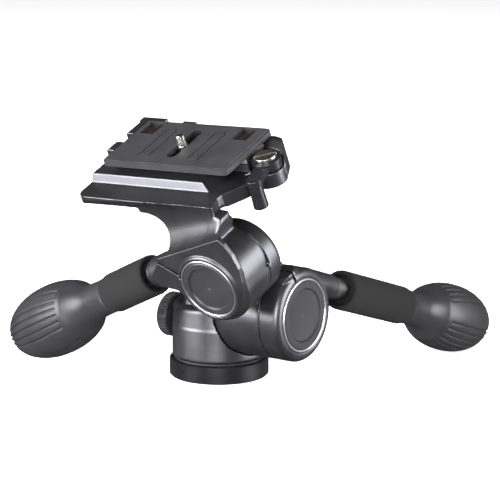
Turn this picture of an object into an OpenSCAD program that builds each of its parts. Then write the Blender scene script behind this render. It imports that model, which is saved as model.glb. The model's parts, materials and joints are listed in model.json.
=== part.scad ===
// Three way pan tilt head for a camera tripod, posed nose down as photographed.
// Lengths in mm. Origin: centre of the base disc's underside. +Z is the pan axis, pointing up.
// +X runs along the tilt axis to its round cap. -Y is the way the lens points.

/* [Base] */
// Outer radius of the base disc
base_r = 30; // [29:0.5:31]
// Height of the base disc
base_h = 11.2; // [10.5:0.1:12]
// Wall radius of the tapped tripod hole (3/8 inch thread, tapping size)
tripod_r = 3.97; // [3.97]

/* [Pan housing] */
// Outer radius of the pan housing
pan_r = 28.3; // [27.8:0.1:29]
// Height of the housing's shoulder above the origin
pan_top = 46; // [45:0.5:47]
// Height of the crease round the housing
crease_z = 32.3; // [31:0.1:34]
// Radius of the pan lock knob
pan_knob_r = 14; // [12:0.5:15]

/* [Tilt joint] */
// Height of the tilt axis above the origin
tilt_h = 44.2; // [44:0.1:45]
// Outer radius of the tilt drum and its clamp
tilt_r = 28; // [27.5:0.1:28.3]
// Distance of the tilt cap's ring from the pan axis
tilt_face_x = 62.8; // [62.5:0.1:63.5]
// Radius of the tilt shaft
tilt_shaft_r = 9; // [8.5:0.1:9.5]
// Radius of the bright ring on the tilt cap, at its middle
tilt_ring_r = 21.3; // [20.8:0.1:21.6]

/* [Roll joint] */
// Distance of the roll axis from the pan axis
roll_x = 40; // [40]
// Height of the roll axis above the tilt axis
roll_z = 46.6; // [46.6]
// Outer radius of the roll drum
roll_r = 24; // [23.8:0.1:24.2]
// Distance of the roll cap's ring in front of the tilt axis
roll_face_y = 49.2; // [49:0.1:49.6]
// Radius of the roll shaft
roll_shaft_r = 8; // [7.5:0.1:8.5]
// Radius of the bright ring on the roll cap, at its middle
roll_ring_r = 18.05; // [17.8:0.05:18.2]

/* [Platform] */
// Height of the deck's top above the roll axis
deck_z = 46.9; // [46.9]
// Thickness of the deck at its lip
deck_t = 7.3; // [7:0.1:7.4]
// Top of the dovetail block above the roll axis
block_z = 51.9; // [51.9]

/* [Quick plate] */
// Width of the quick plate across the lens direction
plate_w = 91; // [88:0.5:92]
// Length of the quick plate along the lens direction
plate_l = 48.5; // [46:0.5:49]
// Top of the quick plate above the roll axis
plate_z = 59.9; // [59.9]
// Thickness of the quick plate's rim
plate_t = 4; // [3.8:0.1:4.2]
// Radius of the camera screw (1/4 inch thread, over the crests)
camera_screw_r = 3.175; // [3.175]

/* [Handles] */
// Radius of the foam grips
foam_r = 12.1; // [11.5:0.1:12.5]
// Length of the tilt handle's foam grip
tilt_foam_l = 74; // [60:1:90]
// Length of the roll handle's foam grip
roll_foam_l = 42; // [30:1:60]
// Largest radius of the egg shaped knobs
egg_r = 22.3; // [20:0.1:24]
// Half the length of the egg shaped knobs
egg_half = 43; // [38:1:46]
// Slope of the tilt handle below the level when the platform is level
tilt_handle_deg = 40.8; // [40.8]
// Slope of the roll handle below the platform's plane
roll_handle_deg = 25.2; // [25.2]

/* [Rest pose] */
// How far the head is nose down in the stored pose
pose_tilt = 23; // [-30:1:90]
// How far the tilt cap's side of the platform is raised in the stored pose
pose_roll = 1.75; // [-90:0.25:30]

/* [Parts] */
// The piece to draw, or all of them

/* [Hidden] */
$fn = 96;
run = 0.05;            // radial clearance of a running fit
gap = 0.4;             // space between faces that move past each other
cut = 0.5;             // how far a cutter reaches past a face
tilt_off = 20.3;       // distance from the tilt axis to the tilt handle's axis
roll_off = 18.3;       // distance from the roll axis to the roll handle's axis
roll_hy = -38.1;       // where the roll handle's axis lies along the roll axis
tilt_hx = 55;          // where the tilt handle's axis lies along the tilt axis
seam_y = -21;          // seam between the roll drum's two halves
hub_y = -47.5;         // face of the roll hub
foam_s = 45;           // start of a foam grip along its handle
egg_start = 14;        // from the foam's end to the egg piece
egg_reach = 46;        // from the egg piece's start to its widest place
groove_d = 0.9;        // depth of the grooves in the egg

// Colours of the finishes
dark = [0.16, 0.16, 0.17];
black = [0.06, 0.06, 0.065];
steel = [0.75, 0.75, 0.76];
brass = [0.72, 0.56, 0.3];

// ---- frames ----
module tilt_pose() {
  translate([0, 0, tilt_h]) rotate([pose_tilt, 0, 0]) children();
}
module roll_pose() {
  tilt_pose() translate([roll_x, 0, roll_z]) rotate([0, -pose_roll, 0]) children();
}
// Platform pieces are drawn with X from the pan axis and Z from the roll axis
module platform_pose() {
  roll_pose() translate([-roll_x, 0, 0]) children();
}
// Children are drawn along +Z, which becomes the handle's direction
module tilt_handle_pose() {
  tilt_pose() rotate([-tilt_handle_deg, 0, 0]) translate([tilt_hx, 0, tilt_off]) rotate([-90, 0, 0]) children();
}
module roll_handle_pose() {
  roll_pose() rotate([0, -roll_handle_deg, 0]) translate([0, roll_hy, roll_off]) rotate([0, -90, 0]) children();
}
// Children drawn along +Z lie along +X
module along_x() {
  rotate([0, 90, 0]) children();
}
// Children drawn along +Z lie along -Y
module along_front() {
  rotate([90, 0, 0]) children();
}

// ---- small shapes ----
module tube(outer, inner, h) {
  difference() {
    cylinder(r = outer, h = h);
    translate([0, 0, -cut]) cylinder(r = inner, h = h + 2 * cut);
  }
}
// Disc with a rounded top edge of radius e and a small chamfer below
module soft_disc(r, h, e, c = 0.5) {
  rotate_extrude() union() {
    polygon([[0, 0], [r - c, 0], [r, c], [r, h - e], [r - e, h - e], [r - e, h], [0, h]]);
    intersection() {
      translate([r - e, h - e]) circle(r = e, $fn = 48);
      translate([r - e, h - e]) square([e, e]);
    }
  }
}
// Points of a circular arc in a plane
function arc(cx, cy, r, a0, a1, n = 12) = [for (i = [0:n]) let (a = a0 + (a1 - a0) * i / n) [cx + r * cos(a), cy + r * sin(a)]];

// ---- base ----
module base_plate() {
  color(black) difference() {
    rotate_extrude() polygon([[0, 0], [base_r - 1, 0], [base_r, 1], [base_r, base_h - 0.8], [base_r - 0.8, base_h], [0, base_h]]);
    translate([0, 0, -cut]) cylinder(r = tripod_r, h = base_h + 2 * cut);
    translate([0, 0, base_h - 2.2]) cylinder(r = 15, h = 3);
    base_screw_holes(1.5, 3, 0);
  }
}
module base_screw_holes(shank, head, spare) {
  for (a = [30:120:270]) rotate(a) translate([11, 0, 0]) {
    translate([0, 0, 1.6 - spare]) cylinder(r = shank, h = base_h - 1.6 + spare);
    translate([0, 0, -cut]) cylinder(r = head, h = 1.6 + cut);
  }
}
module base_screws() {
  color(steel) for (a = [30:120:270]) rotate(a) translate([11, 0, 0]) difference() {
    union() {
      translate([0, 0, 0.3]) cylinder(r = 2.9, h = 1.3);
      translate([0, 0, 1.6]) cylinder(r = 1.5, h = base_h - 3.8);
    }
    translate([-2, -0.4, 0]) cube([4, 0.8, 0.8]);
    translate([-0.4, -2, 0]) cube([0.8, 4, 0.8]);
  }
}
module pan_spindle() {
  color(steel) translate([0, 0, base_h - 2.2]) difference() {
    union() {
      cylinder(r = 15, h = 2.2);
      cylinder(r = 10, h = 17.2);
      cylinder(r = 5, h = 21.8);
    }
    translate([0, 0, -cut]) cylinder(r = tripod_r, h = 6);
  }
}
// Brake collar that keeps the housing down and that the pan lock presses on
module pan_nut() {
  color(steel) translate([0, 0, base_h + 15.4]) difference() {
    cylinder(r = 12, h = 6.6);
    translate([0, 0, -cut]) cylinder(r = 5, h = 5.2);
    translate([0, 0, 4.6]) cylinder(r = 6, h = 3, $fn = 6);
  }
}
module friction_ring() {
  color([0.25, 0.25, 0.26]) translate([0, 0, base_h]) tube(27.2, 15.5, 0.6);
}

// ---- pan housing ----
module pan_shell() {
  rotate_extrude() polygon(concat(
    [[0, base_h + 1], [pan_r - 0.8, base_h + 1], [pan_r, base_h + 1.8], [pan_r, crease_z - 0.4], [pan_r - 0.35, crease_z]],
    arc(pan_r - 4.7, pan_top - 4, 4, 0, 90, 10), [[0, pan_top]]));
}
// Space swept by the tilt drum, with clearance
module drum_space() {
  along_x() rotate_extrude() polygon([[0, 13.6], [24.6, 13.6], [tilt_r + 0.6, 20.8], [tilt_r + 0.6, 70], [0, 70]]);
}
module pan_housing() {
  color(dark) difference() {
    union() {
      pan_shell();
      translate([-11, 0, tilt_h]) along_x() soft_disc(24.6, 24.6, 0.3, 4);
      translate([-pan_r - 1.6, 0, 32]) along_x() cylinder(r = 8, h = 8);
    }
    translate([0, 0, tilt_h]) drum_space();
    // bore and counterbore for the spindle
    translate([0, 0, base_h]) cylinder(r = 10 + run, h = 16);
    translate([0, 0, base_h + 15]) cylinder(r = 13, h = 7.8);
    translate([-9, 0, tilt_h]) along_x() cylinder(r = tilt_shaft_r, h = 30);
    translate([-pan_r - 5, 0, 32]) along_x() cylinder(r = 3 + run, h = 30);
  }
}
module tilt_shaft() {
  color(steel) translate([-9, 0, tilt_h]) along_x() difference() {
    union() {
      cylinder(r = tilt_shaft_r, h = 66);
      cylinder(r = tilt_shaft_r - 1, h = 66.5);
    }
    translate([0, 0, 50]) cylinder(r = 2.5, h = 20);
  }
}
module end_washer(r) {
  tube(r, 2.7, 1.4);
}
module end_screw(head_r) {
  difference() {
    union() {
      translate([0, 0, -9]) cylinder(r = 2.5, h = 9);
      cylinder(r = head_r, h = 1.8);
    }
    translate([0, 0, 0.8]) cylinder(r = 1.8, h = 2, $fn = 6);
  }
}
module tilt_end_washer() {
  color(steel) translate([57.5, 0, tilt_h]) along_x() end_washer(11.5);
}
module tilt_end_screw() {
  color(steel) translate([58.9, 0, tilt_h]) along_x() end_screw(4.4);
}
module pan_knob() {
  color(black) translate([-pan_r - 2.4, 0, 32]) rotate([0, -90, 0]) difference() {
    union() {
      soft_disc(pan_knob_r - 0.6, 7.6, 1.5);
      for (i = [0:35]) rotate(i * 10) translate([pan_knob_r - 1.2, 0, 0.6]) cylinder(r = 0.9, h = 6, $fn = 16);
    }
    translate([0, 0, 6.8]) cylinder(r = 9.5, h = 2);
    translate([0, 0, -cut]) cylinder(r = 3, h = 4);
  }
}
module pan_knob_stem() {
  color(steel) translate([-pan_r - 5.9, 0, 32]) along_x() union() {
    cylinder(r = 3, h = 21.4);
    translate([0, 0, 21.4]) cylinder(r = 2, h = 0.5);
  }
}

// ---- tilt body ----
module tilt_drum() {
  along_x() rotate_extrude() polygon([[0, 14.1], [23.8, 14.1], [24.3, 14.6], [tilt_r, 21], [tilt_r, 49], [0, 49]]);
}
// Upright racetrack section shared by both halves of the roll drum, drawn along -Y from y0 to y1
module roll_drum_part(r, y0, y1) {
  translate([0, y0, 0]) along_front() union() {
    cylinder(r = r, h = y0 - y1);
    translate([0, 4, 0]) cylinder(r = r, h = y0 - y1);
    translate([-r, 0, 0]) cube([2 * r, 4, y0 - y1]);
  }
}
module roll_rear() {
  translate([0, -6.7, 0]) along_front() rotate_extrude() polygon(concat([[0, 0]], arc(roll_r - 5, 5, 5, -90, 0, 10), [[roll_r, -6.7 - seam_y - 0.2], [0, -6.7 - seam_y - 0.2]]));
}
// Wedge shaped stop slot in the rim of the rear half
module stop_slot() {
  rotate([0, -62, 0]) rotate([0, 0, 5.5]) translate([0, seam_y + 0.2, 0]) rotate([0, 4, 0]) rotate([-90, 0, 0]) rotate_extrude(angle = 58) translate([roll_r - 3, -4]) square([8, 4]);
}
module tilt_casting() {
  color(dark) tilt_pose() difference() {
    union() {
      tilt_drum();
      translate([roll_x, 0, roll_z]) roll_rear();
      // web between the two drums
      translate([21.5, 0, 0]) rotate([90, 0, 90]) linear_extrude(25.5) polygon([[-20.6, 18], [-20.6, 40], [-6.8, 58], [2, 44], [13, 24], [0, 14]]);
    }
    translate([10, 0, 0]) along_x() cylinder(r = 11, h = 45);
    translate([49, 0, 0]) along_x() cylinder(r = tilt_r, h = 30);
    translate([roll_x, 0, roll_z]) along_front() translate([0, 0, 7.5]) cylinder(r = roll_shaft_r, h = 20);
    translate([roll_x, 0, roll_z]) stop_slot();
  }
}
module tilt_bush() {
  color(brass) tilt_pose() translate([16, 0, 0]) along_x() tube(11, tilt_shaft_r + run, 33);
}
// Cap seat, ring and dished cap are alike on both joints; drawn along +Z from the face
module cap_seat(ring_r) {
  translate([0, 0, -2.4]) cylinder(r = ring_r + 0.75, h = 5);
}
module face_ring(ring_r) {
  translate([0, 0, -2.4]) rotate_extrude() translate([ring_r, 1.4]) union() {
    translate([-0.6, -1.4]) square([1.2, 1.8]);
    translate([0, 0.4]) circle(r = 0.6, $fn = 24);
  }
}
module dished_cap(ring_r) {
  k = ring_r / 21.3;
  translate([0, 0, -2.4]) difference() {
    rotate_extrude() union() {
      polygon([[0, 0], [ring_r - 0.7, 0], [ring_r - 0.7, 2], [ring_r - 1.5, 2.5], [16.2 * k, 2.5], [15.2 * k, 1.5], [0, 1.1]]);
    }
    translate([0, 0, -cut]) cylinder(r = 5.2, h = 1);
  }
}
module tilt_clamp() {
  color(dark) tilt_pose() difference() {
    union() {
      translate([49, 0, 0]) along_x() soft_disc(tilt_r, tilt_face_x - 49, 4.2, 0.6);
      intersection() {
        rotate([-tilt_handle_deg, 0, 0]) translate([tilt_hx, -24, tilt_off]) rotate([-90, 0, 0]) cylinder(r = 7.2, h = 50);
        translate([45, 0, 0]) along_x() cylinder(r = 30.3, h = 30);
      }
      rotate([-tilt_handle_deg, 0, 0]) translate([tilt_hx, 0, tilt_off]) rotate([-90, 0, 0]) cylinder(r = 7.8, h = 32);
    }
    // the lug leaves room for the two drums beside it
    translate([40, 0, 0]) along_x() cylinder(r = tilt_r, h = 9);
    translate([roll_x, 0, roll_z]) roll_rear();
    translate([40, 0, 0]) along_x() cylinder(r = tilt_shaft_r + run, h = 17);
    translate([56.2, 0, 0]) along_x() cylinder(r = 13, h = 5);
    translate([tilt_face_x, 0, 0]) along_x() cap_seat(tilt_ring_r);
    // clamp slit above the bore
    translate([48, -0.65, 8]) cube([20, 1.3, 30]);
    rotate([-tilt_handle_deg, 0, 0]) translate([tilt_hx, -19, tilt_off]) rotate([-90, 0, 0]) cylinder(r = 3 + run, h = 60);
    rotate([-tilt_handle_deg, 0, 0]) translate([tilt_hx, 24, tilt_off]) rotate([-90, 0, 0]) cylinder(r = 6 + run, h = 10);
  }
}
module tilt_cap() {
  color(dark) tilt_pose() translate([tilt_face_x, 0, 0]) along_x() dished_cap(tilt_ring_r);
}
module tilt_ring() {
  color(steel) tilt_pose() translate([tilt_face_x, 0, 0]) along_x() face_ring(tilt_ring_r);
}
module roll_shaft() {
  color(steel) tilt_pose() translate([roll_x, -7.5, roll_z]) along_front() difference() {
    cylinder(r = roll_shaft_r, h = 35.5);
    translate([0, 0, 24]) cylinder(r = 2.5, h = 20);
  }
}
module roll_end_washer() {
  color(steel) tilt_pose() translate([roll_x, -43, roll_z]) along_front() end_washer(10);
}
module roll_end_screw() {
  color(steel) tilt_pose() translate([roll_x, -44.4, roll_z]) along_front() end_screw(4);
}

// ---- handles, drawn along +Z ----
module stem(foam_l, tip) {
  color(steel) union() {
    translate([0, 0, tip]) cylinder(r = 3, h = 24 - tip);
    translate([0, 0, 24]) cylinder(r = 6, h = 8.5);
    translate([0, 0, 32.4]) cylinder(r = 7, h = 9);
    translate([0, 0, 41.4]) cylinder(r = 5, h = foam_s + foam_l - 40);
  }
}
module foam(foam_l) {
  color([0.09, 0.09, 0.095]) translate([0, 0, foam_s - 1.5]) difference() {
    rotate_extrude() polygon(concat([[5, 5], [9.6, 5], [9.6, 0]], arc(foam_r - 1, 1, 1, -90, 0, 5), arc(foam_r - 2, foam_l - 0.5, 2, 0, 90, 6), [[5, foam_l + 1.5]]));
  }
}
module neck(foam_l) {
  color(dark) translate([0, 0, foam_s + foam_l]) rotate_extrude() polygon([[5, 0], [10.4, 0], [11, 0.6], [10.8, 8], [11, egg_start], [0, egg_start], [0, 7], [5, 7]]);
}
// Half outline of the egg: a flare from the neck, then an egg curve to the tip
function egg_at(t) = egg_r * sqrt(1 - pow(abs(t), 2.15));
function flare_at(z) = 10.9 + (egg_at(-0.62) - 10.9) * pow((z + egg_reach) / (egg_reach - 0.62 * egg_half), 2.2);
flare = [for (i = [0:9]) let (z = -egg_reach + (egg_reach - 0.62 * egg_half) * i / 10) [flare_at(z), z]];
egg_curve = [for (i = [0:26]) let (a = asin(-0.62) + (90 - asin(-0.62)) * i / 26) [egg_at(min(sin(a), 0.9999)), egg_half * sin(a)]];
// The same curve drawn inwards by the depth of the grooves
groove_floor = [for (i = [0:26]) let (a = asin(-0.62) + (90 - asin(-0.62)) * i / 26) [egg_at(min(sin(a), 0.9999)) - groove_d * cos(a), (egg_half - groove_d) * sin(a)]];
module egg(foam_l, turn) {
  color(dark) translate([0, 0, foam_s + foam_l + egg_start + egg_reach]) difference() {
    rotate_extrude() polygon(concat([[0, -egg_reach]], flare, egg_curve, [[0, egg_half]]));
    // three groups of seven long grooves with plain lobes between them
    for (g = [0:2], i = [-3:3]) rotate(turn + g * 120 + i * 12.5) rotate([90, 0, 0]) translate([0, 0, -0.7]) linear_extrude(1.4) egg_groove();
  }
}
module egg_groove() {
  difference() {
    translate([2, -24]) square([egg_r + 3, egg_half + 22]);
    polygon(concat([[-1, -egg_half], [12.5, -egg_half], [egg_at(-0.62) + 1.5, -0.62 * egg_half]], groove_floor, [[-1, egg_half - groove_d]]));
  }
}
module tilt_stem() { tilt_handle_pose() stem(tilt_foam_l, -18); }
module tilt_foam() { tilt_handle_pose() foam(tilt_foam_l); }
module tilt_neck() { tilt_handle_pose() neck(tilt_foam_l); }
module tilt_egg() { tilt_handle_pose() egg(tilt_foam_l, 50); }
module roll_stem() { roll_handle_pose() stem(roll_foam_l, 0); }
module roll_foam() { roll_handle_pose() foam(roll_foam_l); }
module roll_neck() { roll_handle_pose() neck(roll_foam_l); }
module roll_egg() { roll_handle_pose() egg(roll_foam_l, 65); }

// ---- roll body ----
// Outline of the hub's face seen from the front, from the roll axis
hub_outline = concat([[6, 36.5], [14.8, 35], [18.9, 30.6], [22.6, 23.4], [24.9, 15.1], [24.3, 5.5], [22.4, -2.6]],
  arc(0, 0, 21.9, -12, -158, 18), [[-24.9, -4.8], [-32.9, -3.6], [-36.8, -3.9], [-40, 0.9], [-39.7, 4.9], [-35, 11],
  [-33.6, 14.4], [-32, 17.5], [-28, 24], [-10, 31]]);
// The same face where it meets the drum, a little smaller
hub_step = [[6, 35.5], [14, 34], [18.2, 29.8], [21.8, 22.9], [24.1, 14.9], [23.5, 6], [20, 4], [-20, 8], [-32, 16.5], [-27, 23.5], [-10, 30.4]];
module hub_body() {
  roll_drum_part(roll_r, seam_y - 0.2, -43.5);
  // bevel between the drum and the face
  for (z = [0, 4]) translate([0, -43.4, z]) along_front() cylinder(r1 = roll_r - 0.2, r2 = 21.7, h = -43.4 - hub_y - 0.8);
  translate([0, -44, 0]) along_front() linear_extrude(-44 - hub_y) polygon(hub_outline);
  translate([0, -43, 0]) along_front() linear_extrude(1.1) polygon(hub_step);
  // raised boss round the cap
  translate([0, -45, 0]) along_front() soft_disc(roll_ring_r + 3.2, roll_face_y - 45, 1.8, 0.1);
  rotate([0, -roll_handle_deg, 0]) translate([0, roll_hy, roll_off]) rotate([0, -90, 0]) translate([0, 0, 2]) union() {
    cylinder(r = 9.4, h = 36);
    cylinder(r = 8.4, h = 40);
  }
}
module roll_hub() {
  color(dark) roll_pose() difference() {
    hub_body();
    translate([0, seam_y + 1, 0]) along_front() cylinder(r = roll_shaft_r + run, h = 24);
    translate([0, -42.6, 0]) along_front() cylinder(r = 11.5, h = 6);
    translate([0, -roll_face_y, 0]) along_front() cap_seat(roll_ring_r);
    rotate([0, -roll_handle_deg, 0]) translate([-40, roll_hy, roll_off]) along_x() cylinder(r = 3 + run, h = 42);
    rotate([0, -roll_handle_deg, 0]) translate([-40, roll_hy, roll_off]) along_x() cylinder(r = 6 + run, h = 16);
    rotate([0, -roll_handle_deg, 0]) translate([-43, roll_hy, roll_off]) along_x() cylinder(r = 7 + gap, h = 11);
    scoop();
    // clamp slit from the lug's end to the bore
    translate([0, -60, 0]) rotate([0, 27.8, 0]) translate([-46, 0, -4.6]) cube([42, 34, 1.2]);
  }
}
module roll_cap() {
  color(dark) roll_pose() translate([0, -roll_face_y, 0]) along_front() dished_cap(roll_ring_r);
}
module roll_ring() {
  color(steel) roll_pose() translate([0, -roll_face_y, 0]) along_front() face_ring(roll_ring_r);
}
// Side view of the gooseneck, Y against Z
neck_side = [[-22, 20], [-22.5, 30], [-24.5, 34.5], [-28, 38.4], [-27, 41], [-44, 41], [-46.8, 30], [-46.8, 10], [-22, 10]];
// Front view of the gooseneck, X against Z
neck_front = [[-33, 11.5], [-28, 14], [8, 26], [12, 33.2], [12.7, 34.4], [13.4, 36.1], [13.8, 38.6], [13.4, 41], [-50, 41], [-50, 30], [-33, 16]];
module gooseneck() {
  difference() {
    intersection() {
      rotate([90, 0, 90]) translate([0, 0, -60]) linear_extrude(120) polygon(neck_side);
      along_front() linear_extrude(60) polygon(neck_front);
    }
    // hollow between the handle boss and the deck
    translate([-47.2, 0, 15]) along_front() cylinder(r = 20.8, h = 80);
    scoop();
  }
}
// Concave scoop across the deck's lip, the neck and the hub, narrowing towards the lever
module scoop() {
  translate([-32, -51.1, 35.1]) rotate([0, 78.2, 3.7]) translate([0, 0, -60]) cylinder(r1 = 27.4, r2 = 7.2, h = 135);
}
deck_outline = concat(arc(-44, -30.3, 7, 180, 270, 8), arc(46.2, -35.1, 2.2, 270, 350, 4),
  [[47.1, -32.3], [45.6, -26.4], [46.1, -22.4], [54.5, -10.4], [58.5, -1], [66.2, 8], [66.6, 14], [62, 23.2], [56.5, 29.4], [50, 31], [-9, 31], [-9, 37], [-51, 37], [-51, -4]]);
// Wall that stands up behind the lever, seen from above
guard_outline = [[44, 24], [46, 30.5], [50.6, 30.9], [56.5, 29.3], [62, 23.1], [66.5, 14.1], [64.6, 11], [60, 19.8], [51.5, 21.5]];
module platform() {
  color(dark) platform_pose() difference() {
    union() {
      difference() {
        translate([roll_x, 0, 0]) gooseneck();
        translate([roll_x, 0, 0]) hub_body();
      }
      difference() {
        translate([0, 0, deck_z - deck_t]) linear_extrude(deck_t) polygon(deck_outline);
        translate([roll_x, 0, 0]) scoop();
      }
      // deeper rim from the lip to the lever boss
      translate([0, 0, 38.2]) linear_extrude(3) polygon([[42, -28], [45, -24], [53.6, -11], [58, -1], [58, 6], [50, 6], [44, -8], [38, -24]]);
      intersection() {
        translate([0, 0, deck_z - 1]) linear_extrude(11) polygon(guard_outline);
        translate([0, 0, deck_z - 2]) rotate([0, 90, 0]) rotate([0, 0, 90]) linear_extrude(80) polygon([[5, 0], [40, 0], [40, 10.4], [26, 10.4], [10, 2.5]]);
      }
      // dovetail block with its sloped front
      difference() {
        translate([-50, 0, 0]) rotate([90, 0, 90]) linear_extrude(87) polygon([[-21.6, deck_z - 0.1], [-19.2, block_z], [30, block_z], [31, deck_z - 0.1]]);
        translate([32, -40, block_z]) rotate([0, 45, 0]) cube([20, 100, 20]);
      }
      // rail that the moving jaw rides on
      translate([36, 3, deck_z - 1]) cube([13, 18, block_z - deck_z + 1]);
      // fixed jaw ends on the far side from the lever
      for (t = [[-3, 10], [17, 20]]) translate([-49.5, t[0] + t[1], block_z - 0.1]) rotate([90, 0, 0]) linear_extrude(t[1]) polygon(fixed_jaw);
      translate([-50.5, 32.2, deck_z - 1]) cube([19, 4.8, 12.6]);
      translate([-19, 32.2, deck_z - 1]) cube([10, 4, 12]);
    }
    translate([lever_x, lever_y, 30]) cylinder(r = 9.4, h = 40);
    // shallow relief under the lever's arm
    translate([lever_x, lever_y, 45.8]) linear_extrude(20) polygon(concat([[0, 0]], arc(0, 0, 14.4, -140, -12)));
  }
}
// Ends of the two jaws that lean over the plate's foot, X against Z
fixed_jaw = [[0, 0], [6.3, 0], [6.3, 0.6], [7.4, 3.6], [6, 3.6], [6, 6.7], [0.8, 6.7], [0, 5.6]];
moving_jaw = [[0, 0], [-5.2, 0], [-6.5, 3.3], [0, 3.3]];
lever_x = 57.6;
lever_y = 9.5;
lever_reach = 18.7;
lever_turn = -81;
module lever_boss() {
  color(dark) platform_pose() translate([lever_x, lever_y, 0]) difference() {
    union() {
      translate([0, 0, 38]) cylinder(r = 9.4, h = 9);
      translate([0, 0, 38]) cylinder(r = 4, h = 15.2);
    }
    translate([0, 0, 43]) cylinder(r = 2, h = 20);
  }
}
module lever_screw() {
  color(steel) platform_pose() translate([lever_x, lever_y, 0]) difference() {
    union() {
      translate([0, 0, 43.2]) cylinder(r = 2, h = 10.2);
      translate([0, 0, 53.3]) soft_disc(6.6, 2, 0.6, 0.2);
    }
    rotate(35) translate([-8, -0.8, 54.3]) cube([16, 1.6, 3]);
  }
}
module jaw() {
  color(steel) platform_pose() difference() {
    translate([49, 21, block_z + 0.3]) rotate([90, 0, 0]) linear_extrude(18) polygon(moving_jaw);
    translate([lever_x, lever_y, 30]) cylinder(r = 10.4, h = 40);
  }
}
// The arm slopes down from the hub to the knob
module lever() {
  color(black) platform_pose() translate([lever_x, lever_y, 0]) difference() {
    union() {
      translate([0, 0, 47.4]) soft_disc(8.8, 5.8, 1, 0.3);
      rotate([0, 0, lever_turn]) translate([2, -4.2, 48.9]) rotate([0, 7, 0]) cube([lever_reach - 2.5, 8.4, 3.6]);
      rotate([0, 0, lever_turn]) translate([lever_reach, 0, 46.4]) soft_disc(4.7, 4, 0.6, 0.2);
    }
    translate([0, 0, 40]) cylinder(r = 4 + run, h = 30);
  }
}
module lever_knob() {
  color(black) platform_pose() translate([lever_x, lever_y, 0]) rotate([0, 0, lever_turn]) translate([lever_reach, 0, 32.2]) union() {
    cylinder(r1 = 4, r2 = 4.4, h = 0.5);
    translate([0, 0, 0.5]) cylinder(r1 = 4.4, r2 = 3.9, h = 13.7);
  }
}

// ---- quick plate ----
plate_cx = 3.5;
plate_cy = 7.4;
module rounded_slab(w, l, h, r) {
  union() {
    translate([-w / 2 + r, -l / 2, 0]) cube([w - 2 * r, l, h]);
    translate([-w / 2, -l / 2 + r, 0]) cube([w, l - 2 * r, h]);
    for (x = [-1, 1], y = [-1, 1]) translate([x * (w / 2 - r), y * (l / 2 - r), 0]) cylinder(r = r, h = h);
  }
}
module slot(l, r, h) {
  for (y = [-1, 1]) translate([0, y * (l / 2 - r), 0]) cylinder(r = r, h = h);
  translate([-r, -l / 2 + r, 0]) cube([2 * r, l - 2 * r, h]);
}
module quick_plate() {
  color(black) platform_pose() translate([plate_cx, plate_cy, 0]) difference() {
    union() {
      translate([0, 0, plate_z - plate_t]) rounded_slab(plate_w, plate_l, plate_t - 0.8, 3);
      translate([0, 0, plate_z - plate_t]) rounded_slab(plate_w - 2, plate_l - 2, plate_t, 2.4);
      // dovetail foot
      translate([0, 22, 0]) rotate([90, 0, 0]) linear_extrude(40) polygon([[-46.2, block_z + 0.4], [39.4, block_z + 0.4], [38.2, block_z + 3.6], [38.2, plate_z - plate_t + 0.1], [-45, plate_z - plate_t + 0.1], [-45, block_z + 3.6]]);
    }
    arrow_frame(-20);
    arrow_frame(16);
    translate([-1, 1.2, plate_z - 12]) slot(33, 3.5, 20);
    translate([-1, 1.2, plate_z - 12]) slot(39, 6.2, 9.4);
    for (x = [-36, 32.5]) translate([x - 5.2, 8.6, plate_z - 2.6]) cube([10.4, 13.4, 4]);
  }
}
// Groove round a long plain arrow
module arrow_frame(x) {
  translate([x, 1, plate_z - 0.4]) linear_extrude(1) difference() {
    polygon([[-4, -17], [4, -17], [4, 13], [0, 17], [-4, 13]]);
    polygon([[-3.3, -16.3], [3.3, -16.3], [3.3, 12.7], [0, 16], [-3.3, 12.7]]);
  }
}
module plate_clips() {
  color([0.75, 0.55, 0.5]) platform_pose() translate([plate_cx, plate_cy, 0]) for (x = [-36, 32.5]) translate([x, 15.3, plate_z - 2.6]) union() {
    rotate([0, -8, 0]) translate([-3.4, -5.6, 0.5]) cube([6.8, 11.2, 0.8]);
    translate([-3, -5, 0]) cube([5.4, 10, 0.9]);
  }
}
module camera_screw() {
  color(steel) platform_pose() translate([plate_cx - 1, 6, 0]) difference() {
    union() {
      translate([0, 0, block_z + 0.6]) cylinder(r = 5.4, h = 2.1);
      translate([0, 0, block_z + 2.6]) cylinder(r = 2.9, h = plate_z - block_z - 2);
      translate([0, 0, plate_z + 0.5]) cylinder(r = camera_screw_r, h = 5.6);
      translate([0, 0, plate_z + 6]) cylinder(r = 2.6, h = 0.8);
    }
    translate([-6, -0.6, block_z]) cube([12, 1.2, 1.4]);
  }
}
module screw_washer() {
  color(steel) platform_pose() translate([plate_cx - 1, 6, block_z + 2.9]) tube(5.9, 2.9 + run, 0.8);
}

base_plate();
base_screws();
pan_spindle();
pan_nut();
friction_ring();
pan_housing();
tilt_shaft();
tilt_end_washer();
tilt_end_screw();
pan_knob();
pan_knob_stem();
tilt_casting();
tilt_bush();
tilt_clamp();
tilt_cap();
tilt_ring();
roll_shaft();
roll_end_washer();
roll_end_screw();
tilt_stem();
tilt_foam();
tilt_neck();
tilt_egg();
roll_hub();
roll_cap();
roll_ring();
platform();
lever_boss();
lever_screw();
roll_stem();
roll_foam();
roll_neck();
roll_egg();
jaw();
lever();
lever_knob();
quick_plate();
plate_clips();
screw_washer();
camera_screw();
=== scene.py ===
import json
from math import cos, pi, radians, sin

import bpy
from mathutils import Matrix, Vector

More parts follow.
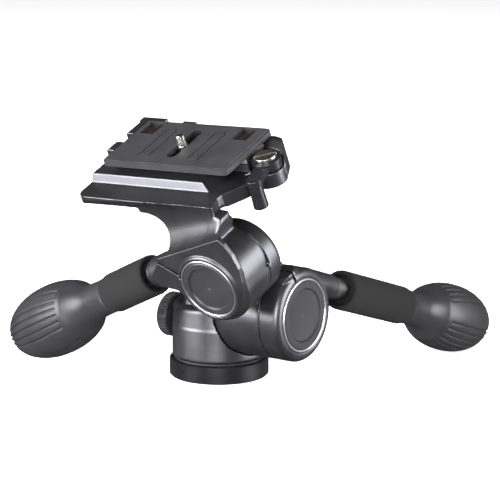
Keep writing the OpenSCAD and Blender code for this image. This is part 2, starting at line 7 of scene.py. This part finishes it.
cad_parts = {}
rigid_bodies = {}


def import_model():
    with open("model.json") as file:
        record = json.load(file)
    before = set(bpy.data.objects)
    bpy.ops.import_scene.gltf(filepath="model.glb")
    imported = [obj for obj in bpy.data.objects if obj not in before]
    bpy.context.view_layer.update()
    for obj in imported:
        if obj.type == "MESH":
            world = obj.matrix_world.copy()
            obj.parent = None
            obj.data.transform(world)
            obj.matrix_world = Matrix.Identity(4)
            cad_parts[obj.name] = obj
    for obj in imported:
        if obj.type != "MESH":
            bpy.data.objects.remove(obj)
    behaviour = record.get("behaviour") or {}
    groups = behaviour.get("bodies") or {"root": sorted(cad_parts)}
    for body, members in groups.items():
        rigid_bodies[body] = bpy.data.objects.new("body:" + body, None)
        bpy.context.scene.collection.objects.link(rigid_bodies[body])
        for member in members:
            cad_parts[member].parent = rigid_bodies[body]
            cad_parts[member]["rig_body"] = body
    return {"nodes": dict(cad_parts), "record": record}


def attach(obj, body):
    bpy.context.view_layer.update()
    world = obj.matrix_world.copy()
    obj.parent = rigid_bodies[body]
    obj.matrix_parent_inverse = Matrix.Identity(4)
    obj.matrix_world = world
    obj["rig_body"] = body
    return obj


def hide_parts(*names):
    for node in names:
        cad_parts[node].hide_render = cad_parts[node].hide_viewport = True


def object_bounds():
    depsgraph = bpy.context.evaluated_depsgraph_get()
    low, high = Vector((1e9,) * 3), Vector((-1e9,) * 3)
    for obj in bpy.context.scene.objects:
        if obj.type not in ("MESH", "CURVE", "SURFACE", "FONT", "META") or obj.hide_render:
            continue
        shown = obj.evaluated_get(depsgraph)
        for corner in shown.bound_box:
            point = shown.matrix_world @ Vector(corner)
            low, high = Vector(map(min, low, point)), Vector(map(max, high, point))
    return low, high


bl_info = {
    "name": "Three way pan tilt head",
    "version": (1, 0, 0),
    "blender": (4, 5, 0),
    "location": "View3D > Sidebar > Pan tilt head",
    "description": "Castings, grips, screws and finishes of a three way pan tilt head, on a pale studio floor",
    "category": "Object",
}

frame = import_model()
NODES = frame["nodes"]
CAD_BOX = [list(corner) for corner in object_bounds()]
MM = 0.001
FOAM_START = 43.5  # mm from the handle's joint to the sleeve's hub end
SOFTBOX_DISTANCE = 2.3  # metres from the head's middle
HEAD_MIDDLE = Vector((0, 0, 0.08))
EGG_SKIN = 0.00035  # facet width of the egg knobs, finer than the castings' for the grooves
SCREW_SKIN = 0.00009  # facet width of the camera screw, fine enough for its thread


def at(x, y, z):
    return Matrix.Translation(Vector((x, y, z)) * MM)


def turned(degrees, axis):
    return Matrix.Rotation(radians(degrees), 4, axis)


# Places of the CAD's joints, caps and handles in the stored pose, in mm and degrees as the source builds them
TILT = at(0, 0, 44.2) @ turned(23, "X")
ROLL = TILT @ at(40, 0, 46.6) @ turned(-1.75, "Y")
DECK = ROLL @ at(-40, 0, 0)
TILT_CAP = TILT @ at(62.8, 0, 0) @ turned(90, "Y")
ROLL_CAP = ROLL @ at(0, -49.2, 0) @ turned(90, "X")
TILT_HANDLE = TILT @ turned(-40.8, "X") @ at(55, 0, 20.3) @ turned(-90, "X")
ROLL_HANDLE = ROLL @ turned(-25.2, "Y") @ at(0, -38.1, 18.3) @ turned(-90, "Y")


def linear(hex_colour):
    """Linear RGB of an sRGB hex colour."""
    channels = [int(hex_colour[i:i + 2], 16) / 255 for i in (1, 3, 5)]
    return tuple(c / 12.92 if c <= 0.04045 else ((c + 0.055) / 1.055) ** 2.4 for c in channels)


def colour_choice(label, hex_colour, about):
    return bpy.props.FloatVectorProperty(
        name=label, description=about, subtype="COLOR", min=0, max=1, default=linear(hex_colour))


def length_choice(label, mm, about):
    return bpy.props.FloatProperty(
        name=label, description=about, unit="LENGTH", subtype="DISTANCE", min=0, precision=5, default=mm * MM)


class HeadFinishes(bpy.types.PropertyGroup):
    """Colours and finishes of the head"""
    casting: colour_choice("Castings", "#5C5C60", "Satin black paint on the die castings")
    base: colour_choice("Base disc", "#303034", "Black anodised base disc")
    moulding: colour_choice("Mouldings", "#343437", "Satin dark grey caps, necks and egg knobs")
    plate: colour_choice("Quick plate", "#3A3A3D", "Glass filled moulding of the quick plate")
    foam: colour_choice("Foam", "#151516", "Closed cell foam of the grips")
    steel: colour_choice("Steel", "#C9C5C0", "Turned steel screws and shafts")
    chrome: colour_choice("Rings", "#F4F4F6", "Polished rings round the caps")
    bronze: colour_choice("Bush", "#B08D57", "Sintered bush in the tilt drum")
    clip: colour_choice("Clips", "#8C7670", "Copper washed spring clips")
    foam_cell: length_choice("Foam cell", 0.45, "Width of a cell in the foam's skin")
    paint_grain: length_choice("Paint grain", 0.35, "Width of a grain in the satin paint")


class HeadSizes(bpy.types.PropertyGroup):
    """Sizes of the pieces that are modelled here"""
    skin: length_choice("Casting skin", 0.5, "Width of the facets that a casting's skin is made of")
    thread_pitch: length_choice("Thread pitch", 1.27, "Pitch of the quarter inch camera thread")
    foam_radius: length_choice("Foam radius", 12.1, "Outer radius of the foam sleeves")


class HeadStage(bpy.types.PropertyGroup):
    """Camera, floor and lights"""
    camera_at: bpy.props.FloatVectorProperty(
        name="Camera place", description="Where the camera stands", subtype="TRANSLATION", unit="LENGTH",
        default=(0.70065, -0.93453, 0.30743))
    azimuth: bpy.props.FloatProperty(
        name="Azimuth", description="Turn of the camera round the head, in degrees", default=35.9468)
    elevation: bpy.props.FloatProperty(
        name="Elevation", description="Slope of the camera's view, in degrees", default=11.2153)
    roll: bpy.props.FloatProperty(
        name="Roll", description="Roll of the camera about its view, in degrees", default=0.0405)
    lens_mm: bpy.props.FloatProperty(
        name="Lens", description="Focal length for a 36 mm sensor", subtype="DISTANCE_CAMERA", default=143.03)
    floor: colour_choice("Floor", "#F4F4F4", "Pale studio floor")


# ---- node helper ----
def add_node(tree, kind, settings=None, inputs=None, links=None):
    """Adds a node with its settings, input values and links; a link is input: (node, output)."""
    node = tree.nodes.new(kind)
    for name, value in (settings or {}).items():
        setattr(node, name, value)
    for name, value in (inputs or {}).items():
        node.inputs[name].default_value = value
    for name, (source, output) in (links or {}).items():
        tree.links.new(source.outputs[output], node.inputs[name])
    return node


def rgba(colour, factor=1.0):
    return tuple(channel * factor for channel in colour) + (1.0,)


def speckled_finish(name, colour, roughness, metallic, grain, bump,
                    spread=0.12, rough_spread=0.05, ior=None):
    """A finish with a fine bump of the grain's size, and slow changes of tone and roughness."""
    material = bpy.data.materials.new(name)
    material.use_nodes = True
    tree = material.node_tree
    tree.nodes.clear()
    place = add_node(tree, "ShaderNodeTexCoord")
    fine = add_node(tree, "ShaderNodeTexNoise", {}, {"Scale": 1 / grain, "Detail": 2.0, "Roughness": 0.6},
                    {"Vector": (place, "Object")})
    slow = add_node(tree, "ShaderNodeTexNoise", {}, {"Scale": 55.0, "Detail": 3.0, "Roughness": 0.55},
                    {"Vector": (place, "Object")})
    tone = add_node(tree, "ShaderNodeValToRGB", {}, {}, {"Fac": (slow, "Fac")})
    tone.color_ramp.elements[0].position, tone.color_ramp.elements[1].position = 0.3, 0.7
    tone.color_ramp.elements[0].color = rgba(colour, 1 - spread)
    tone.color_ramp.elements[1].color = rgba(colour, 1 + spread)
    rough = add_node(tree, "ShaderNodeMapRange", {}, {
        "From Min": 0.3, "From Max": 0.7, "To Min": roughness - rough_spread, "To Max": roughness + rough_spread},
        {"Value": (slow, "Fac")})
    relief = add_node(tree, "ShaderNodeBump", {}, {"Strength": 1.0, "Distance": bump}, {"Height": (fine, "Fac")})
    shader = add_node(tree, "ShaderNodeBsdfPrincipled", {}, {"Metallic": metallic}, {
        "Base Color": (tone, "Color"), "Roughness": (rough, "Result"), "Normal": (relief, "Normal")})
    if ior:
        shader.inputs["IOR"].default_value = ior
    add_node(tree, "ShaderNodeOutputMaterial", {}, {}, {"Surface": (shader, "BSDF")})
    return material


def turned_finish(name, colour, roughness, line_width):
    """Bare metal with the fine rings that turning leaves, too fine in life, so drawn a little coarser."""
    material = bpy.data.materials.new(name)
    material.use_nodes = True
    tree = material.node_tree
    tree.nodes.clear()
    place = add_node(tree, "ShaderNodeTexCoord")
    lines = add_node(tree, "ShaderNodeTexNoise", {}, {"Scale": 1 / line_width, "Detail": 1.0},
                     {"Vector": (place, "Object")})
    tone = add_node(tree, "ShaderNodeValToRGB", {}, {}, {"Fac": (lines, "Fac")})
    tone.color_ramp.elements[0].color = rgba(colour, 0.85)
    tone.color_ramp.elements[1].color = rgba(colour, 1.0)
    relief = add_node(tree, "ShaderNodeBump", {}, {"Strength": 0.4, "Distance": 0.00001}, {"Height": (lines, "Fac")})
    shader = add_node(tree, "ShaderNodeBsdfPrincipled", {}, {"Metallic": 1.0, "Roughness": roughness},
                      {"Base Color": (tone, "Color"), "Normal": (relief, "Normal")})
    add_node(tree, "ShaderNodeOutputMaterial", {}, {}, {"Surface": (shader, "BSDF")})
    return material


def finishes():
    """The head's materials by slot, made once."""
    if "satin_paint_on_diecast" in bpy.data.materials:
        return {slot: bpy.data.materials[name] for slot, name in SLOT_MATERIALS.items()}
    look = bpy.context.scene.head_finishes
    # Satin black paint on die cast aluminium: soft, wide reflections with a faint orange peel
    speckled_finish("satin_paint_on_diecast", look.casting, 0.36, 0.92, look.paint_grain, 0.000006)
    # Black anodised aluminium, fine turned: darker and tighter reflections than paint
    speckled_finish("black_anodised_aluminium", look.base, 0.3, 0.8, 0.0002, 0.000002)
    # Satin moulded ABS: dark grey with a spark eroded grain
    speckled_finish("satin_moulded_abs", look.moulding, 0.42, 0.35, 0.0004, 0.000008, ior=1.54)
    # Glass filled nylon: matte, with a slight mottle from the fibres
    speckled_finish("glass_filled_nylon", look.plate, 0.5, 0.3, 0.0003, 0.00001, 0.15, ior=1.53)
    # Closed cell foam rubber: no shine, small open cells in the skin
    speckled_finish("closed_cell_foam", look.foam, 0.92, 0.0, look.foam_cell, 0.00012, 0.2, 0.03, ior=1.5)
    # Black paint on the lever: glossier than the castings
    speckled_finish("black_lever_paint", look.base, 0.28, 0.6, 0.0003, 0.000004)
    # Turned steel: bare grey metal with a fine, slightly broken sheen
    turned_finish("turned_steel", look.steel, 0.28, 0.0004)
    # Chrome on the rings, satin so that they read evenly bright
    turned_finish("polished_chrome", look.chrome, 0.3, 0.001)
    # Sintered bronze: dull yellow brown, from pressed powder
    turned_finish("sintered_bronze", look.bronze, 0.5, 0.0005)
    # Copper washed spring steel: a thin pinkish coat over grey
    turned_finish("copper_washed_spring_steel", look.clip, 0.35, 0.0006)
    # Dark nylon of the hidden friction ring
    speckled_finish("dark_nylon", look.moulding, 0.5, 0.0, 0.0005, 0.000005, ior=1.53)
    return {slot: bpy.data.materials[name] for slot, name in SLOT_MATERIALS.items()}


SLOT_MATERIALS = {
    "cast_paint": "satin_paint_on_diecast",
    "black_anodised": "black_anodised_aluminium",
    "bright_steel": "turned_steel",
    "chrome_trim": "polished_chrome",
    "bronze": "sintered_bronze",
    "friction_nylon": "dark_nylon",
    "foam": "closed_cell_foam",
    "knob_plastic": "satin_moulded_abs",
    "plate_plastic": "glass_filled_nylon",
    "lever_black": "black_lever_paint",
    "copper_clip": "copper_washed_spring_steel",
}


def slot_of(node):
    return next(part["material_slot"] for part in frame["record"]["subparts"] if part["node"] == node)


def give_finish(piece, slot):
    piece.data.materials.clear()
    piece.data.materials.append(finishes()[slot])


def deselect_all():
    if bpy.context.object and bpy.context.object.mode != "OBJECT":
        bpy.ops.object.mode_set(mode="OBJECT")
    bpy.ops.object.select_all(action="DESELECT")


def pick(piece):
    """Only this piece is selected and active."""
    deselect_all()
    piece.select_set(True)
    bpy.context.view_layer.objects.active = piece


def apply_modifier(piece, kind, **settings):
    pick(piece)
    modifier = piece.modifiers.new(kind.lower(), kind)
    for name, value in settings.items():
        setattr(modifier, name, value)
    bpy.ops.object.modifier_apply(modifier=modifier.name)


def drawn_line(place, points):
    """Opens a new mesh with a line through points in mm of a place, all of it selected."""
    points = [place @ (Vector(point) * MM) for point in points]
    deselect_all()
    bpy.ops.mesh.primitive_plane_add(size=0.001, location=points[0])
    bpy.ops.object.mode_set(mode="EDIT")
    bpy.ops.mesh.merge(type="CENTER")
    for start, end in zip(points, points[1:]):
        bpy.ops.mesh.extrude_region_move(TRANSFORM_OT_translate={"value": end - start})
    bpy.ops.mesh.select_all(action="SELECT")


def closed_up():
    """Merges doubles, turns the faces outwards and leaves edit mode with the piece's object at the origin."""
    bpy.ops.mesh.select_all(action="SELECT")
    bpy.ops.mesh.remove_doubles(threshold=0.000001)
    bpy.ops.mesh.normals_make_consistent(inside=False)
    bpy.ops.object.mode_set(mode="OBJECT")
    bpy.ops.object.transform_apply(location=True, rotation=True, scale=True)
    return bpy.context.object


def lathe(place, outline, steps=96):
    """A solid turned round a place's own Z, from an outline of (radius, height) in mm."""
    drawn_line(place, [(radius, 0, height) for radius, height in outline])
    bpy.ops.mesh.spin(
        steps=steps, angle=2 * pi, center=place.translation, axis=place.to_3x3() @ Vector((0, 0, 1)))
    return closed_up()


def prism(place, outline, depth):
    """A block with an outline of (x, z) in mm of a place, reaching depth mm along the place's Y."""
    drawn_line(place, [(x, 0, z) for x, z in outline])
    bpy.ops.mesh.edge_face_add()
    bpy.ops.mesh.extrude_region_move(
        TRANSFORM_OT_translate={"value": place.to_3x3() @ Vector((0, depth * MM, 0))})
    return closed_up()


def settle(piece, name, *nodes):
    """Names a finished piece, gives it its first node's finish and lets it ride in the nodes' place."""
    piece.name = name
    piece.data.name = name
    slot = slot_of(nodes[0])
    give_finish(piece, slot)
    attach(piece, NODES[nodes[0]]["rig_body"])
    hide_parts(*nodes)


def merged_copy(node):
    """A copy of a CAD node with its triangles merged and its flats dissolved."""
    piece = bpy.data.objects.new("copy_of_" + node, NODES[node].data.copy())
    bpy.context.scene.collection.objects.link(piece)
    pick(piece)
    bpy.ops.object.mode_set(mode="EDIT")
    bpy.ops.mesh.select_all(action="SELECT")
    bpy.ops.mesh.remove_doubles(threshold=0.000002)
    bpy.ops.mesh.dissolve_limited(angle_limit=radians(0.6))
    bpy.ops.object.mode_set(mode="OBJECT")
    return piece


def rounded_piece(node, name, radius, angle=32.0, segments=3):
    """Stands for a cast or moulded node, with its sharp edges rounded."""
    piece = merged_copy(node)
    apply_modifier(piece, "BEVEL", width=radius, segments=segments, limit_method="ANGLE",
                   angle_limit=radians(angle), use_clamp_overlap=True)
    pick(piece)
    bpy.ops.object.shade_smooth_by_angle(angle=radians(40))
    apply_modifier(piece, "WEIGHTED_NORMAL", keep_sharp=True, weight=90)
    settle(piece, name, node)


def melt(piece, place, low, high, rounds):
    """Lets the skin flow together between two corners, in mm of a place."""
    inverse = place.inverted()
    inside = [vertex.index for vertex in piece.data.vertices
              if all(a < c < b for a, c, b in zip(low, (inverse @ vertex.co) / MM, high))]
    piece.vertex_groups.new(name="melted").add(inside, 1.0, "REPLACE")
    apply_modifier(piece, "SMOOTH", factor=0.5, iterations=rounds, vertex_group="melted")


def cut_away(piece, cutter):
    """Cuts with another piece, which is then gone."""
    apply_modifier(piece, "BOOLEAN", object=cutter, operation="DIFFERENCE", solver="FAST")
    bpy.data.objects.remove(cutter)


def cast_piece(nodes, name, skin, rounds, keep=1.0, soft_spot=None, cutters=()):
    """Stands for cast nodes of one body as one skin with soft edges, as a casting has."""
    copies = [merged_copy(node) for node in nodes]
    pick(copies[0])
    for copy in copies[1:]:
        copy.select_set(True)
    if copies[1:]:
        bpy.ops.object.join()
    piece = bpy.context.object
    apply_modifier(piece, "REMESH", mode="VOXEL", voxel_size=skin, use_smooth_shade=True)
    if soft_spot:
        melt(piece, *soft_spot)
    apply_modifier(piece, "SMOOTH", factor=0.5, iterations=rounds)
    if keep < 1:
        apply_modifier(piece, "DECIMATE", ratio=keep)
    for cutter in cutters:
        cut_away(piece, cutter)
    pick(piece)
    bpy.ops.object.shade_smooth_by_angle(angle=radians(38))
    settle(piece, name, *nodes)


class HEAD_OT_castings(bpy.types.Operator):
    """Cast the housing, the tilt body and the gooseneck with soft edges"""
    bl_idname = "head.castings"
    bl_label = "Castings"

    def execute(self, context):
        sizes = context.scene.head_sizes
        cast_piece(("pan_housing",), "pan_housing_casting", sizes.skin, 5)
        cast_piece(("tilt_casting",), "tilt_drum_casting", sizes.skin, 5)
        cast_piece(("tilt_clamp",), "tilt_clamp_casting", sizes.skin, 4)
        cast_piece(("roll_hub", "platform", "lever_boss"), "gooseneck_casting", 0.8 * sizes.skin, 5, 0.26,
                   soft_spot=(ROLL, (3, -43.2, 22), (26, -21, 41.5), 160), cutters=(self.slot_cutter(),))
        return {"FINISHED"}

    def slot_cutter(self):
        """The widening end of the stop slot, in the edge of the hub's drum."""
        wedge = [(-20.5, 14), (-21.3, 12.5), (-23.8, 1.2), (-20.5, 1.2)]
        return prism(ROLL @ at(20.3, 0, 0) @ turned(90, "Z"), wedge, -7)


class HEAD_OT_rings(bpy.types.Operator):
    """Turn the bright rings round the two dished caps"""
    bl_idname = "head.rings"
    bl_label = "Rings"

    def execute(self, context):
        for side, cap, radius in (("tilt", TILT_CAP, 21.3), ("roll", ROLL_CAP, 18.05)):
            outline = [(-0.72, -2.3), (0.72, -2.3), (0.72, -0.3), (0.5, -0.02), (0.2, 0.08), (-0.2, 0.08),
                       (-0.5, -0.02), (-0.72, -0.3), (-0.72, -2.3)]
            ring = lathe(cap, [(radius + across, height) for across, height in outline], 128)
            bpy.ops.object.shade_smooth_by_angle(angle=radians(50))
            settle(ring, side + "_bright_ring", side + "_ring")
        return {"FINISHED"}


class HEAD_OT_foams(bpy.types.Operator):
    """Slip the foam sleeves over the stems, open at the hub end"""
    bl_idname = "head.foams"
    bl_label = "Foam sleeves"

    def execute(self, context):
        sizes = context.scene.head_sizes
        for side, handle, length in (("tilt", TILT_HANDLE, 74), ("roll", ROLL_HANDLE, 42)):
            start, end, radius = FOAM_START, FOAM_START + length, sizes.foam_radius / MM
            hub_end = [(5.0, start + 5), (9.2, start + 5), (9.5, start + 4.6), (9.6, start + 0.6),
                       (10.0, start + 0.1), (radius - 0.9, start), (radius - 0.25, start + 0.5)]
            rings = [(radius, start + 2.2 + i * (length - 4.4) / 40) for i in range(41)]
            egg_end = [(radius - 0.3, end - 1.0), (radius - 1.0, end - 0.2), (radius - 2.2, end + 0.1),
                       (10.6, end + 1.4), (5.0, end + 1.5), (5.0, start + 5)]
            foam = lathe(handle, hub_end + rings + egg_end, 80)
            # a sleeve that was stretched over its stem is never quite even
            uneven = bpy.data.textures.new(side + "_foam_unevenness", "CLOUDS")
            uneven.noise_scale = 0.012
            apply_modifier(foam, "DISPLACE", texture=uneven, strength=0.00022, mid_level=0.6, texture_coords="LOCAL")
            pick(foam)
            bpy.ops.object.shade_smooth_by_angle(angle=radians(60))
            settle(foam, side + "_foam_sleeve", side + "_foam")
        return {"FINISHED"}


class HEAD_OT_camera_screw(bpy.types.Operator):
    """Turn the camera screw and cut its thread"""
    bl_idname = "head.camera_screw"
    bl_label = "Camera screw"

    def execute(self, context):
        place = DECK @ at(2.5, 6, 0)
        core = lathe(place, [(0, 52.5), (5.2, 52.5), (5.4, 52.7), (5.4, 54.4), (5.2, 54.6), (2.9, 54.6),
                             (2.9, 59.9), (2.55, 60.2), (2.55, 66.0), (2.1, 66.6), (0, 66.6)])
        tooth = [(2.2, 0, -0.62), (2.55, 0, -0.5), (3.1, 0, -0.1), (3.175, 0, 0), (3.1, 0, 0.1), (2.55, 0, 0.5),
                 (2.2, 0, 0.62)]
        drawn_line(Matrix.Identity(4), tooth)
        bpy.ops.mesh.edge_face_add()
        thread = closed_up()
        apply_modifier(thread, "SCREW", angle=2 * pi, screw_offset=context.scene.head_sizes.thread_pitch,
                       iterations=4, steps=40, render_steps=40, use_merge_vertices=True)
        pick(thread)
        bpy.ops.object.mode_set(mode="EDIT")
        bpy.ops.mesh.select_all(action="SELECT")
        bpy.ops.mesh.normals_make_consistent(inside=False)
        bpy.ops.object.mode_set(mode="OBJECT")
        thread.matrix_world = place @ at(0, 0, 60.75)
        bpy.ops.object.transform_apply(location=True, rotation=True, scale=True)
        core.select_set(True)
        bpy.ops.object.join()
        screw = bpy.context.object
        apply_modifier(screw, "REMESH", mode="VOXEL", voxel_size=SCREW_SKIN, use_smooth_shade=True)
        apply_modifier(screw, "DECIMATE", ratio=0.35)
        pick(screw)
        bpy.ops.object.shade_smooth_by_angle(angle=radians(40))
        settle(screw, "camera_screw_turning", "camera_screw")
        return {"FINISHED"}


class HEAD_OT_eggs(bpy.types.Operator):
    """Mould the grooved egg knobs with soft edges"""
    bl_idname = "head.eggs"
    bl_label = "Egg knobs"

    def execute(self, context):
        for side in ("tilt", "roll"):
            cast_piece((side + "_egg",), side + "_egg_moulding", EGG_SKIN, 2, 0.5)
        return {"FINISHED"}


class HEAD_OT_edges(bpy.types.Operator):
    """Round the edges of the quick plate, the lever and the jaw"""
    bl_idname = "head.edges"
    bl_label = "Rounded edges"

    def execute(self, context):
        rounded_piece("quick_plate", "quick_plate_moulding", 0.0007)
        rounded_piece("lever", "lever_casting", 0.0004)
        rounded_piece("lever_knob", "lever_knob_turning", 0.0004)
        rounded_piece("jaw", "jaw_bar", 0.0003)
        return {"FINISHED"}


class HEAD_OT_finishes(bpy.types.Operator):
    """Give every CAD node its finish"""
    bl_idname = "head.finishes"
    bl_label = "Finishes"

    def execute(self, context):
        for name, node in NODES.items():
            give_finish(node, slot_of(name))
            pick(node)
            bpy.ops.object.shade_smooth_by_angle(angle=radians(35))
        return {"FINISHED"}


class HEAD_OT_stage(bpy.types.Operator):
    """Set up the camera, the floor and the lights"""
    bl_idname = "head.stage"
    bl_label = "Stage"

    def execute(self, context):
        stage = context.scene.head_stage
        self.add_camera(context, stage)
        self.add_floor(stage)
        # stage, name, turn from the camera's side and height in degrees, size in metres, strength in watts
        self.add_softbox(stage, "left_softbox", -68, 14, (1.9, 1.6), 125)
        self.add_softbox(stage, "front_softbox", -8, 8, (1.3, 1.2), 60)
        self.add_softbox(stage, "right_softbox", 78, 8, (1.5, 1.5), 75)
        # mostly lights the floor: nothing glossy mirrors it
        top = self.add_softbox(stage, "top_softbox", 180, 72, (1.8, 1.8), 60)
        top.visible_glossy = False
        self.add_room(context, stage)
        context.scene.view_settings.view_transform = "Standard"
        return {"FINISHED"}

    def add_room(self, context, stage):
        """A room with pale walls left and right of the camera and darker ones before and behind it."""
        world = bpy.data.worlds.new("side_lit_room")
        world.use_nodes = True
        tree = world.node_tree
        tree.nodes.clear()
        turn = radians(stage.azimuth)
        place = add_node(tree, "ShaderNodeTexCoord")
        side = add_node(tree, "ShaderNodeVectorMath", {"operation": "DOT_PRODUCT"}, {},
                        {"Vector": (place, "Generated")})
        side.inputs[1].default_value = (cos(turn), sin(turn), 0)
        wall = add_node(tree, "ShaderNodeMath", {"operation": "ABSOLUTE"}, {}, {"Value": (side, "Value")})
        light = add_node(tree, "ShaderNodeMapRange", {"interpolation_type": "SMOOTHSTEP"},
                         {"From Min": 0.05, "From Max": 0.95, "To Min": 0.03, "To Max": 0.25},
                         {"Value": (wall, "Value")})
        background = add_node(tree, "ShaderNodeBackground", {}, {"Color": (1, 1, 1, 1)},
                              {"Strength": (light, "Result")})
        add_node(tree, "ShaderNodeOutputWorld", {}, {}, {"Surface": (background, "Background")})
        context.scene.world = world

    def add_camera(self, context, stage):
        data = bpy.data.cameras.new("photo_camera")
        data.sensor_width = 36.0
        data.lens = stage.lens_mm
        camera = bpy.data.objects.new("photo_camera", data)
        turn = (Matrix.Rotation(radians(stage.azimuth), 4, "Z") @ Matrix.Rotation(radians(90 - stage.elevation), 4, "X")
                @ Matrix.Rotation(radians(stage.roll), 4, "Z"))
        camera.matrix_world = Matrix.Translation(stage.camera_at) @ turn
        context.scene.collection.objects.link(camera)
        context.scene.camera = camera

    def add_floor(self, stage):
        deselect_all()
        bpy.ops.mesh.primitive_plane_add(size=30, location=(0, 0, CAD_BOX[0][2] - 0.0005))
        floor = bpy.context.object
        floor.name = "studio_floor"
        # Matte painted board
        board = bpy.data.materials.new("matte_studio_board")
        board.use_nodes = True
        shader = board.node_tree.nodes["Principled BSDF"]
        shader.inputs["Base Color"].default_value = rgba(stage.floor)
        shader.inputs["Roughness"].default_value = 0.9
        # lit from below, as a light table is, so that it stays white far behind the head
        shader.inputs["Emission Color"].default_value = (1, 1, 1, 1)
        shader.inputs["Emission Strength"].default_value = 0.62
        floor.data.materials.append(board)
        floor.visible_glossy = False

    def add_softbox(self, stage, name, turn, height, size, watts):
        """A softbox that faces the head, on the camera's left for a turn below zero."""
        turn, height = radians(stage.azimuth + turn), radians(height)
        aim = Vector((sin(turn) * cos(height), -cos(turn) * cos(height), sin(height)))
        data = bpy.data.lights.new(name, "AREA")
        data.shape = "RECTANGLE"
        data.size, data.size_y = size
        data.energy = watts
        light = bpy.data.objects.new(name, data)
        place = Matrix.Translation(HEAD_MIDDLE + SOFTBOX_DISTANCE * aim)
        light.matrix_world = place @ (-aim).to_track_quat("-Z", "Y").to_matrix().to_4x4()
        bpy.context.scene.collection.objects.link(light)
        return light


PIECE_OPERATORS = (HEAD_OT_finishes, HEAD_OT_castings, HEAD_OT_rings, HEAD_OT_foams, HEAD_OT_camera_screw,
                   HEAD_OT_eggs, HEAD_OT_edges)


class HEAD_PT_pieces(bpy.types.Panel):
    """Sizes, colours and steps of the head"""
    bl_label = "Pan tilt head"
    bl_idname = "HEAD_PT_pieces"
    bl_space_type = "VIEW_3D"
    bl_region_type = "UI"
    bl_category = "Pan tilt head"

    def draw(self, context):
        for group in (context.scene.head_finishes, context.scene.head_sizes, context.scene.head_stage):
            box = self.layout.box()
            for name in group.__annotations__:
                box.prop(group, name)
        for operator in PIECE_OPERATORS + (HEAD_OT_stage,):
            self.layout.operator(operator.bl_idname)


CLASSES = (HeadFinishes, HeadSizes, HeadStage) + PIECE_OPERATORS + (HEAD_OT_stage, HEAD_PT_pieces)


def register():
    for cls in CLASSES:
        bpy.utils.register_class(cls)
    bpy.types.Scene.head_finishes = bpy.props.PointerProperty(type=HeadFinishes)
    bpy.types.Scene.head_sizes = bpy.props.PointerProperty(type=HeadSizes)
    bpy.types.Scene.head_stage = bpy.props.PointerProperty(type=HeadStage)


def unregister():
    for name in ("head_finishes", "head_sizes", "head_stage"):
        delattr(bpy.types.Scene, name)
    for cls in reversed(CLASSES):
        bpy.utils.unregister_class(cls)


def main():
    register()
    for operator in PIECE_OPERATORS + (HEAD_OT_stage,):
        group, name = operator.bl_idname.split(".")
        getattr(getattr(bpy.ops, group), name)()


if __name__ == "__main__":
    main()
